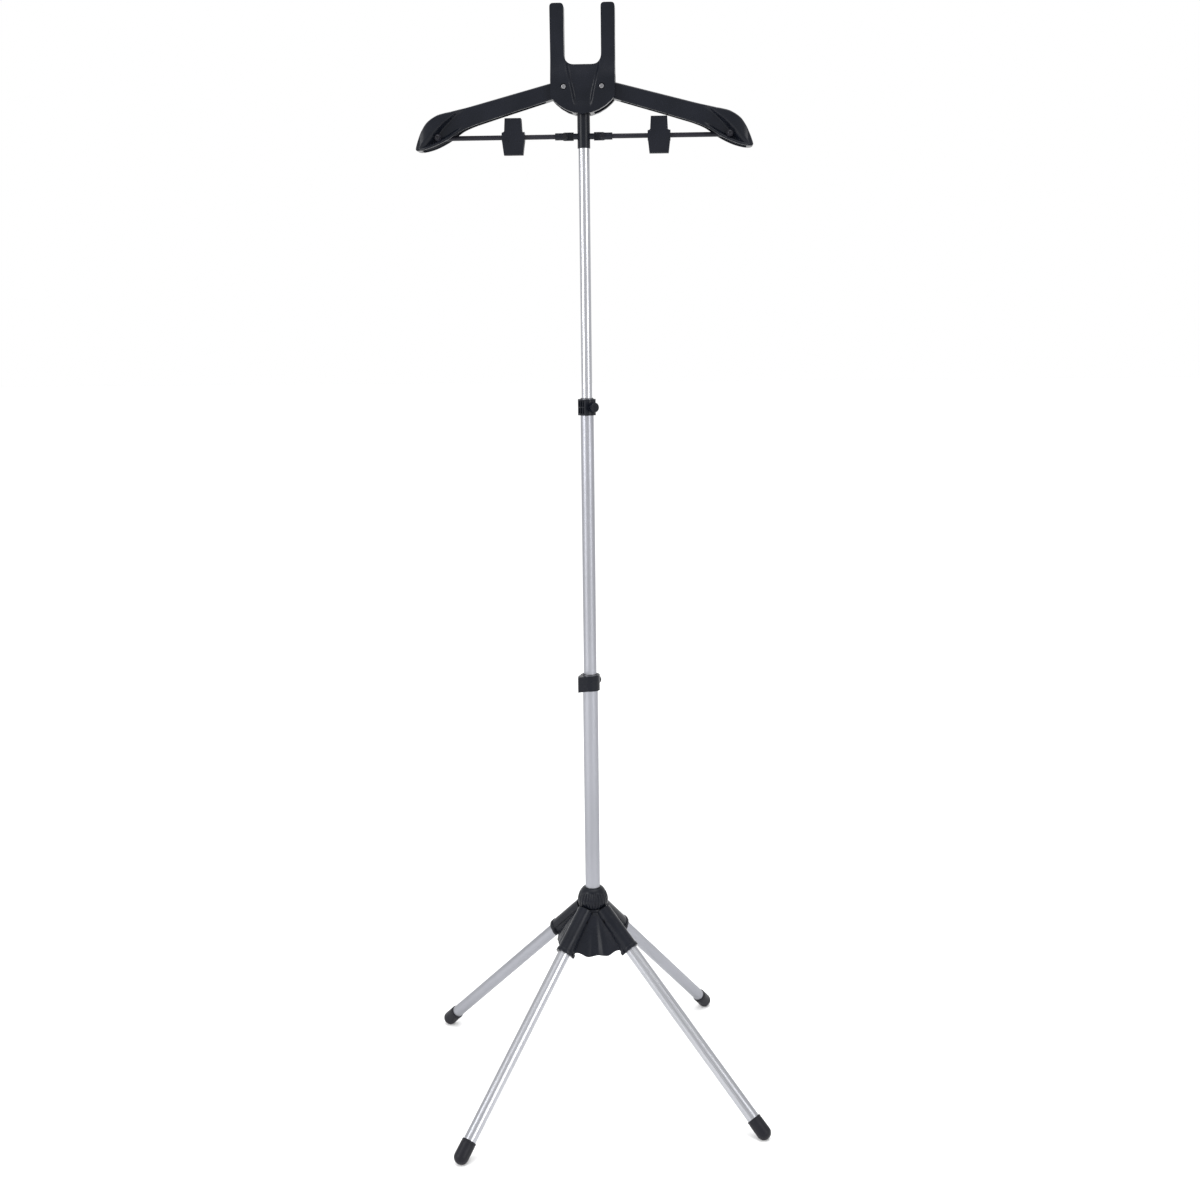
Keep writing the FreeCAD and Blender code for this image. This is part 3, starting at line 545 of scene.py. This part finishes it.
def panel_tab(azimuth):
    """Small raised tab at the top of a panel, under the nut."""
    matrix = Matrix.Rotation(math.radians(azimuth), 4, "Z")
    return block("panel_tab", (12, -2.6, 233.2), (20.4, 2.6, 238.4), matrix)


def make_nut():
    """Domed hand nut with rounded ribs that fade out near its top."""
    low, high = (corner.z for corner in node_box("collar_nut"))
    widest = low + 8.5
    outline = [(14.6, low), (17.0, low), (17.6, low + 0.3), (18.3, low + 1.4), (19.0, low + 3.0),
               (19.5, low + 5.5)]
    steps = 20
    for step in range(steps + 1):
        share = step / steps
        outline.append((10.9 + 8.8 * (1 - share ** 1.6) ** 0.65, widest + (high - 0.3 - widest) * share))
    outline += [(10.5, high), (10.1, high), (9.9, high - 0.3), (9.9, high - 3), (14.0, high - 9.2),
                (14.6, high - 9.2)]
    ribs = 28

    def ripple(angle, radius, height):
        outside = eased((radius - 15.2) / 1.5) * eased((high - 2.5 - height) / 5) * eased((height - low) / 2)
        return radius - 0.85 * outside * (1 - abs(math.sin(angle * ribs / 2)) ** 0.8)

    nut = lathe("collar_nut_ribbed", outline, ribs * 10, ripple)
    finish_piece(soften(nut, 0, angle=50), "collar_nut", "collar_nut")


# ---------------------------------------------------------------- pole and clamps
def make_pole():
    """The three tubes, the liners in their mouths and the collet."""
    # The upper tube takes the lighter copy of the aluminium, a painted highlight for the light that falls on
    # it.
    for node, body, material in (("lower_tube", "lower_pole", None), ("middle_tube", "middle_pole", None),
                                 ("upper_tube", "upper_pole", LIT_ALUMINIUM)):
        finish_piece(from_cad(f"pole_{node}", node, 0.22, 2, 50), body, node, material=material)
    for node, body in (("lower_liner", "lower_pole"), ("upper_liner", "middle_pole"),
                       ("hub_collet", "hub")):
        finish_piece(from_cad(f"{node}_moulded", node, 0.15, 2, 40), body, node)


def knob(name, node, body, azimuth, height, seat):
    """Knurled knob with a dished face, standing on its seat."""
    out = Vector((math.cos(math.radians(azimuth)), math.sin(math.radians(azimuth)), 0))
    matrix = standing(out, out * seat + Vector((0, 0, height)))
    outline = rounded([(2.6, 0, 0), (5.4, 0, 0.4), (6.0, 1.0, 0.4), (6.0, 5.2, 0.7), (5.1, 6.2, 0.6),
                       (3.4, 6.2, 0.4), (2.9, 5.7, 0.3), (0, 5.7, 0), (0, 3.2, 0), (2.6, 3.2, 0)], 3)
    teeth = 18

    def ripple(angle, radius, along):
        outside = eased((radius - 4.9) / 0.6)
        return radius - 0.55 * outside * (0.5 + 0.5 * math.cos(angle * teeth)) ** 2

    piece = lathe(name, outline, teeth * 8, ripple, matrix)
    finish_piece(soften(piece, 0, angle=45), body, node)


def make_clamps():
    """A clamp and its knob at the top of the lower and of the middle tube."""
    lower = from_cad("lower_clamp_block", "lower_clamp", 0.9, 3, 40)
    finish_piece(lower, "lower_pole", "lower_clamp")
    upper = from_cad("upper_clamp_block", "upper_clamp", 0)
    carve(upper, lattice_windows())
    finish_piece(soften(upper, 0.45, 2, 40), "middle_pole", "upper_clamp")
    knob("lower_knob", "lower_clamp_knob", "lower_knob", 64, 537.6, 9.5 + 2.5 + 1.0)
    knob("upper_knob", "upper_clamp_knob", "upper_knob", -50, 881.6, 8.0 + 2.2 + 1.0)


def lattice_windows():
    """Shallow windows, two rows of three, in the clamp's left front face."""
    left, front = Vector((-10.9, -2.2, 0)), Vector((-1.2, -13.3, 0))
    along = (front - left).normalized()
    inward = Vector((-along.y, along.x, 0))
    middle = (left + front) / 2
    matrix = Matrix((along, inward, (0, 0, 1))).transposed().to_4x4()
    matrix = Matrix.Translation(Vector((middle.x, middle.y, 881.6)) * MM) @ matrix
    windows = []
    for column in (-1, 0, 1):
        for low, high in ((-7.6, -0.7), (0.7, 7.6)):
            across = column * 3.9
            windows.append(block("window", (across - 1.45, -1.0, low), (across + 1.45, 0.9, high), matrix))
    return windows


# ---------------------------------------------------------------- hanger
HEAD_HALF = 37.5
HEAD_DEPTH = 16.0
SLOPE_LOW = 1256.0
SLOPE_RISE = 34.0
FORK_DEPTH = 8.5
FORK_TOP = 1346.5
NOTCH_HALF = 21.6
NOTCH_FLOOR = 1278.6
CHIN = [(0, 1222.4), (9.5, 1223.4), (18.5, 1226.5), (26.5, 1231.1), (32.8, 1236.3), (37.5, 1241.6)]
TROUGH = [(1222, 10.0), (1232, 11.2), (1245, 13.2), (1258, 16.2), (1268, 18.6), (1278, 20.4), (1292, 19.0)]


def head_outline():
    """The head from the front: a shield with two prongs and a notch with eased corners between them."""
    right = [(across, height, 0 if across == 0 else 3) for across, height in CHIN]
    right[-1] = (*CHIN[-1], 5)
    right += [(HEAD_HALF + 0.3, FORK_TOP, 4.5), (NOTCH_HALF, FORK_TOP, 4.5), (NOTCH_HALF, NOTCH_FLOOR, 12.0)]
    left = [(-across, height, ease) for across, height, ease in reversed(right[1:])]
    return rounded(right + left, 8)


def head_front_depth(across, height):
    """Full depth at the shield, less at the prongs, with a trough that runs down from the notch."""
    trough = smooth_between(TROUGH, height)
    sunk = eased((trough - abs(across)) / 4.0) * eased((height - 1226) / 16)
    return head_back_depth(across, height) - 3.3 * sunk


def head_back_depth(across, height):
    """The same step from shield to prongs, without the trough."""
    return HEAD_DEPTH - (HEAD_DEPTH - FORK_DEPTH) * eased((height - SLOPE_LOW) / SLOPE_RISE)


def slice_face(work, axis, place):
    """Cuts every face at a place along X (axis 0) or Z (axis 2)."""
    normal = [0, 0, 0]
    normal[axis] = 1
    spot = [place * part for part in normal]
    everything = list(work.faces) + list(work.edges) + list(work.verts)
    bmesh.ops.bisect_plane(work, geom=everything, plane_co=spot, plane_no=normal, dist=1e-4)


def sculpted_plate(name, outline, facing, depth_at, base, spacing):
    """A plate from a flat outline: its face follows depth_at on a fine grid and its back lies at base."""
    work = bmesh.new()
    work.faces.new([work.verts.new((across, 0, height)) for across, height in outline])
    for axis, column in ((0, 0), (2, 1)):
        low = min(point[column] for point in outline)
        high = max(point[column] for point in outline)
        for cut in range(1, math.ceil((high - low) / spacing)):
            slice_face(work, axis, low + spacing * cut)
    face_corners = list(work.verts)
    grown = bmesh.ops.extrude_face_region(work, geom=list(work.faces))
    for part in grown["geom"]:
        if isinstance(part, bmesh.types.BMVert):
            part.co.y = facing * base
    for corner in face_corners:
        corner.co.y = facing * depth_at(corner.co.x, corner.co.z)
    bmesh.ops.scale(work, vec=(MM, MM, MM), verts=work.verts)
    mesh = bpy.data.meshes.new(name)
    work.to_mesh(mesh)
    work.free()
    clean(mesh)
    piece = bpy.data.objects.new(name, mesh)
    scene.collection.objects.link(piece)
    return piece


def head_plate(name, facing, depth_at):
    """One half of the head, hollow for the arms, the pole and the neck sleeve."""
    plate = sculpted_plate(name, head_outline(), facing, depth_at, 0.02, 1.15)
    room_depth = 9.5
    room_top = 1267
    core = 12.9
    near, far = sorted((-2.0 * facing, room_depth * facing))
    cutters = [block("arm_room", (-60, near, 1200), (-core, far, room_top)),
               block("arm_room", (core, near, 1200), (60, far, room_top)),
               block("sleeve_slot", (-8.3, -9.3, 1200), (8.3, 9.3, 1226.7)),
               lathe("pole_socket", [(0, 1200), (6.5, 1200), (6.5, 1262.05), (0, 1262.05)], 48)]
    seat = HEAD_DEPTH - 2.5
    for side in (-1, 1):
        place = through_hanger(side * PIVOT_X, PIVOT_Z, 1)
        cutters.append(lathe("screw_hole", [(0, -30), (2.05, -30), (2.05, 30), (0, 30)], 32, None, place))
        cutters.append(lathe("screw_seat", [(0, seat), (3.45, seat), (3.45, 30), (0, 30)], 40, None, place))
    carve(plate, cutters)
    return soften(plate, 0, angle=40)


def make_head():
    """Both halves of the head, and the two screws that the arms turn on."""
    finish_piece(head_plate("head_front_plate", -1, head_front_depth), "upper_pole", "head_front")
    finish_piece(head_plate("head_back_plate", 1, head_back_depth), "upper_pole", "head_back")
    low, high = node_box("arm_screws")
    screws = []
    for across in (low.x + 3.2, high.x - 3.2):
        outline = rounded([(0, low.y, 0), (2.2, low.y + 0.02, 0.8), (3.2, low.y + 0.9, 0.5),
                           (3.2, low.y + 2.2, 0), (2.0, low.y + 2.2, 0), (2.0, high.y, 0.4), (0, high.y, 0)], 3)
        level = (low.z + high.z) / 2
        screws.append(screw_from("arm_screw", outline, across, level, low.y))
    joined = join(screws, "arm_screw_pair")
    finish_piece(soften(joined, 0, angle=30), "upper_pole", "arm_screws", material=ZINC)


def through_hanger(across, level, turn):
    """A placement on the hanger whose Z runs along Y; turn is 1 to run to the front and -1 to the back."""
    return Matrix.Translation((across * MM, 0, level * MM)) @ Matrix.Rotation(turn * math.pi / 2, 4, "X")


def screw_from(name, outline, across, level, face):
    """A turned screw along Y at a place on the hanger, with a cross recess in its front face."""
    matrix = through_hanger(across, level, -1)
    screw = lathe(name, outline, 40, None, matrix)
    size = 1.5
    arms = [block("recess", (-size, -0.32, face - 1), (size, 0.32, face + 0.8), matrix),
            block("recess", (-0.32, -size, face - 1), (0.32, size, face + 0.8), matrix)]
    return carve(screw, arms)


def join(pieces, name):
    """One object from several, in the row frame."""
    work = bmesh.new()
    for piece in pieces:
        mesh = piece.data.copy()
        mesh.transform(piece.matrix_world)
        work.from_mesh(mesh)
        bpy.data.meshes.remove(mesh)
        bpy.data.objects.remove(piece)
    mesh = bpy.data.meshes.new(name)
    work.to_mesh(mesh)
    work.free()
    result = bpy.data.objects.new(name, mesh)
    scene.collection.objects.link(result)
    return result


def smooth_between(table, value):
    """Catmull-Rom reading of a table of (place, amount) pairs."""
    places = [row[0] for row in table]
    if value <= places[0]:
        return table[0][1]
    if value >= places[-1]:
        return table[-1][1]
    index = max(i for i in range(len(places) - 1) if places[i] <= value)
    step = places[index + 1] - places[index]
    t = (value - places[index]) / step
    low, high = table[index][1], table[index + 1][1]
    low_slope, high_slope = table_slope(table, index), table_slope(table, index + 1)
    return ((2 * t ** 3 - 3 * t ** 2 + 1) * low + (t ** 3 - 2 * t ** 2 + t) * step * low_slope
            + (3 * t ** 2 - 2 * t ** 3) * high + (t ** 3 - t ** 2) * step * high_slope)


def table_slope(table, index):
    """Slope at a row of a table, from the rows on both sides of it."""
    before = table[max(index - 1, 0)]
    after = table[min(index + 1, len(table) - 1)]
    return (after[1] - before[1]) / (after[0] - before[0])


PIVOT_X = 22.2
PIVOT_Z = 1252.9
ROOT = 8.8
TIP_X = 198.8
LOWER_EDGE = [(92, 1223.2), (118, 1215.35), (129, 1211.9), (141.5, 1206.9), (150, 1201.8), (160, 1195.3),
              (176, 1187.9), (189, 1184.2), (195.5, 1183.7), (198.0, 1184.6), (198.8, 1186.3)]
UPPER_EDGE = [(155, 1227.5), (163, 1225.8), (172.5, 1222.7), (183.6, 1215.3), (190.3, 1206.2), (195.2, 1196.0),
              (198.2, 1188.5), (198.8, 1186.3)]
LOWER_BEND = 92
UPPER_BEND = 155
ARM_HALF_DEPTH = 8.5
FLARE = [(112, ARM_HALF_DEPTH), (118, ARM_HALF_DEPTH), (142, 10.9), (160, 14.5), (176, 16.5), (190.3, 14.6),
         (196, 11.0), (198.8, 7.6)]


def arm_edges(across):
    """Lower and upper height of the arm at a distance from the pole: round root, straight bar, shoulder."""
    low = 1244.3 + (1223.2 - 1244.3) * (across - 20.2) / (LOWER_BEND - 20.2)
    high = 1261.4 + (1227.6 - 1261.4) * (across - 24.4) / (UPPER_BEND - 24.4)
    if across > LOWER_BEND:
        low = smooth_between(LOWER_EDGE, across)
    if across > UPPER_BEND:
        high = smooth_between(UPPER_EDGE, across)
    if across < PIVOT_X + 2.2:
        rise = math.sqrt(max(ROOT ** 2 - (across - PIVOT_X) ** 2, 0))
        high = PIVOT_Z + rise
        if across < 20.2:
            low = PIVOT_Z - rise
    return low, high


FACET_LOW = [(130, 1230.5), (140, 1227.0), (149, 1222.6), (153, 1219.6), (163.5, 1210.0), (170.5, 1201.0),
             (176, 1191.5), (186, 1176.0)]
FACET_HIGH = [(130, 1241.5), (140, 1235.5), (149.5, 1227.6), (158, 1220.4), (175, 1207.0), (189.5, 1193.0),
              (199, 1182.0)]


def arm_depth(across, height, low, high):
    """Half the arm's depth: a flat panel, a slanting facet, and a raised rim round the shoulder."""
    flare = smooth_between(FLARE, across)
    low_line = smooth_between(FACET_LOW, across)
    high_line = smooth_between(FACET_HIGH, across)
    share = min(max((height - low_line) / (high_line - low_line), 0), 1)
    lip = eased((142 - across) / 30)
    bottom = 1 - eased((height - low - 1.5) / 6)
    share = max(share * (1 - lip), bottom * eased((across - 125) / 30) * 0.85)
    return ARM_HALF_DEPTH + (flare - ARM_HALF_DEPTH) * eased(share)


def arm_station(across, side, skin):
    """One closed cross-section of the arm, or of the hollow under it when skin isn't zero."""
    low, high = arm_edges(across)
    rows = 44
    crown = 2.2
    front = []
    for row in range(rows + 1):
        share = row / rows
        height = low + (high - low) * share
        depth = arm_depth(across, height, low, high)
        from_top = high - height
        if from_top < crown:
            depth -= crown - math.sqrt(max(crown ** 2 - (crown - from_top) ** 2, 0))
        from_low = height - low
        if from_low < 0.6:
            depth -= 0.6 - from_low
        front.append((depth, height))
    if skin:
        top = max(high - skin, low - 2)
        front = [(max(depth - skin, 0.4), min(height, top)) for depth, height in front]
        front[0] = (front[0][0], low - 3)
    ring = [(side * across, -depth, height) for depth, height in front]
    ring += [(side * across, depth, height) for depth, height in reversed(front)]
    return ring


def make_arm(name, side):
    """Arm with a raised rim round its shoulder, hollow from below."""
    body = f"{name}_arm"
    start = PIVOT_X - ROOT + 0.05
    stations = [start + 1.5 * (step / 6) ** 2 for step in range(6)]
    stations += [start + 1.5 + 2.2 * step for step in range(5)]
    stations += [26 + 6.0 * step for step in range(15)]
    stations += [114 + 1.25 * step for step in range(60)]
    stations += [188.6 + (TIP_X - 0.15 - 188.6) * (1 - (1 - step / 9) ** 2) for step in range(1, 10)]
    arm = loft(f"{name}_shoulder_arm", [arm_station(across, side, 0) for across in stations])
    inner = [across for across in stations if 40 < across < 192]
    hollow = loft("hollow", [arm_station(across, side, 2.4) for across in inner])
    eye_matrix = through_hanger(side * PIVOT_X, PIVOT_Z, 1)
    eye = lathe("eye", [(0, -30), (2.1, -30), (2.1, 30), (0, 30)], 32, None, eye_matrix)
    carve(arm, [hollow, eye])
    finish_piece(soften(arm, 0, angle=42), body, f"{name}_arm")
    low, high = node_box(f"{name}_tip_pin")
    across, level = (low.x + high.x) / 2, (low.z + high.z) / 2
    reach = high.y - 0.9
    outline = rounded([(0, -high.y, 0), (1.7, -high.y + 0.02, 0.5), (2.6, -reach - 0.2, 0.2), (2.6, -reach, 0),
                       (1.6, -reach, 0), (1.6, reach, 0), (2.6, reach, 0), (2.6, reach + 0.2, 0.2),
                       (1.7, high.y - 0.02, 0.5), (0, high.y, 0)], 3)
    pin = screw_from(f"{name}_shoulder_pin", outline, across, level, -high.y)
    finish_piece(soften(pin, 0, angle=30), body, f"{name}_tip_pin", material=DARK_STEEL)


def make_runner_and_rods():
    """The neck sleeve, and each side's rod with its ferrule and screw."""
    runner = from_cad("neck_sleeve", "neck_runner", 0.45, 3, 40)
    finish_piece(runner, "runner", "neck_runner")
    for side in ("left", "right"):
        body = f"{side}_rod"
        finish_piece(from_cad(f"{side}_cross_rod", f"{side}_rod", 0.3, 2, 40), body, f"{side}_rod")
        finish_piece(from_cad(f"{side}_ferrule", f"{side}_rod_end", 0.4, 2, 40), body, f"{side}_rod_end")
        screw = from_cad(f"{side}_ferrule_screw", f"{side}_rod_screw", 0.25, 2, 40)
        finish_piece(screw, body, f"{side}_rod_screw", material=DARK_STEEL)


def make_clips():
    """Both clips: two leaves with a grip pad each, and the spring between them."""
    for side in ("left", "right"):
        for face in ("front", "back"):
            leaf = from_cad(f"{side}_clip_{face}_leaf", f"{side}_clip_{face}", 0.5, 3, 30)
            finish_piece(leaf, f"{side}_clip_{face}", f"{side}_clip_{face}")
            pad = from_cad(f"{side}_grip_pad_{face}", f"{side}_pad_{face}", 0.4, 2, 40)
            finish_piece(pad, f"{side}_clip_{face}", f"{side}_pad_{face}")
        finish_piece(clip_spring(side), f"{side}_clip_back", f"{side}_clip_spring")


def clip_spring(side):
    """Torsion spring of round wire: five coils on the bush and a leg up each handle."""
    low, high = node_box(f"{side}_clip_bush")
    centre = (low + high) / 2
    wire = 0.5
    coil_radius = 5.05
    coils = 5.0
    steps_each = 20
    path = [(-3.2, -2.8, 15.0), (-3.2, -4.1, 4.0)]
    turns = int(coils * steps_each)
    for step in range(turns + 1):
        angle = math.pi * 0.72 + 2 * math.pi * step / steps_each
        path.append((-3.2 + 6.4 * step / turns, coil_radius * math.cos(angle), coil_radius * math.sin(angle)))
    path += [(3.2, 4.1, 4.0), (3.2, 2.8, 15.0)]
    line = bpy.data.curves.new("spring_line", "CURVE")
    line.dimensions = "3D"
    line.bevel_depth = wire * MM
    line.bevel_resolution = 2
    line.use_fill_caps = True
    spline = line.splines.new("POLY")
    spline.points.add(len(path) - 1)
    for point, place in zip(spline.points, path):
        point.co = (*((Vector(place) + centre) * MM), 1)
    carrier = bpy.data.objects.new("spring_line", line)
    scene.collection.objects.link(carrier)
    graph = bpy.context.evaluated_depsgraph_get()
    mesh = bpy.data.meshes.new_from_object(carrier.evaluated_get(graph))
    bpy.data.objects.remove(carrier)
    spring = bpy.data.objects.new(f"{side}_coil_spring", mesh)
    scene.collection.objects.link(spring)
    clean(mesh)
    mesh.shade_smooth()
    return spring


# ---------------------------------------------------------------- carried-over nodes, floor, lights and camera
def finish_cad_nodes():
    """Gives every CAD node that is still shown the material of its slot."""
    for name, node in frame["nodes"].items():
        node.data.materials.clear()
        node.data.materials.append(MATERIALS[node_slot[name]])


def make_floor():
    """A pale, even floor that runs well past the picture."""
    material, tree, shader = shader_graph("pale_floor")
    tree.links.new(colour_between(tree, noise_at(tree, 1.5, 2), (0.92, 0.92, 0.92), (0.94, 0.94, 0.94)),
                   shader.inputs["Base Color"])
    shader.inputs["Roughness"].default_value = 0.9
    reach = 20000
    floor = new_piece("floor", [(-reach, -reach, 0), (reach, -reach, 0), (reach, reach, 0), (-reach, reach, 0)],
                      [(0, 1, 2, 3)])
    floor.data.materials.append(material)


def area_light(name, place, aim, width, height, power):
    """A soft box that the camera doesn't see."""
    lamp = bpy.data.lights.new(name, "AREA")
    lamp.shape = "RECTANGLE"
    lamp.size = width
    lamp.size_y = height
    lamp.energy = power
    light = bpy.data.objects.new(name, lamp)
    light.location = place
    light.rotation_euler = (Vector(aim) - Vector(place)).to_track_quat("-Z", "Y").to_euler()
    light.visible_camera = False
    scene.collection.objects.link(light)


def make_lights():
    """White surroundings, three soft boxes and a weak, very soft sun from above."""
    world = bpy.data.worlds.new("studio")
    scene.world = world
    world.use_nodes = True
    world.node_tree.nodes["Background"].inputs["Color"].default_value = (1, 1, 1, 1)
    world.node_tree.nodes["Background"].inputs["Strength"].default_value = 1.0
    area_light("left_box", (-2.2, -1.6, 1.6), (0, 0, 0.7), 1.2, 2.2, 55)
    area_light("right_box", (2.0, -1.9, 1.4), (0, 0, 0.7), 0.9, 2.0, 30)
    area_light("top_box", (0.3, -0.2, 3.0), (0, 0, 0.5), 2.0, 2.0, 30)
    lamp = bpy.data.lights.new("floor_fill", "SUN")
    lamp.energy = 0.5
    lamp.angle = math.radians(60)
    light = bpy.data.objects.new("floor_fill", lamp)
    scene.collection.objects.link(light)


def make_camera():
    """The camera where the picture was taken from."""
    eye = Vector((0.1070, -1.8564, 0.9945))
    azimuth, pitch, roll = math.radians(92.89), math.radians(10.72), math.radians(-0.61)
    level_part = math.cos(pitch)
    forward = Vector((math.cos(azimuth) * level_part, math.sin(azimuth) * level_part, -math.sin(pitch)))
    level = forward.cross((0, 0, 1)).normalized()
    up = level.cross(forward)
    right = level * math.cos(roll) + up * math.sin(roll)
    top = up * math.cos(roll) - level * math.sin(roll)
    lens = bpy.data.cameras.new("camera")
    lens.sensor_width = 36
    lens.lens = 45.57
    camera = bpy.data.objects.new("camera", lens)
    camera.matrix_world = Matrix.Translation(eye) @ Matrix((right, top, -forward)).transposed().to_4x4()
    scene.collection.objects.link(camera)
    scene.camera = camera


# ---------------------------------------------------------------- the whole scene
finish_cad_nodes()
for leg_name, leg_azimuth in LEGS.items():
    make_leg(leg_name, leg_azimuth)
make_hub()
make_nut()
make_pole()
make_clamps()
make_head()
make_arm("left", -1)
make_arm("right", 1)
make_runner_and_rods()
make_clips()
make_floor()
make_lights()
make_camera()
scene.view_settings.view_transform = "Standard"
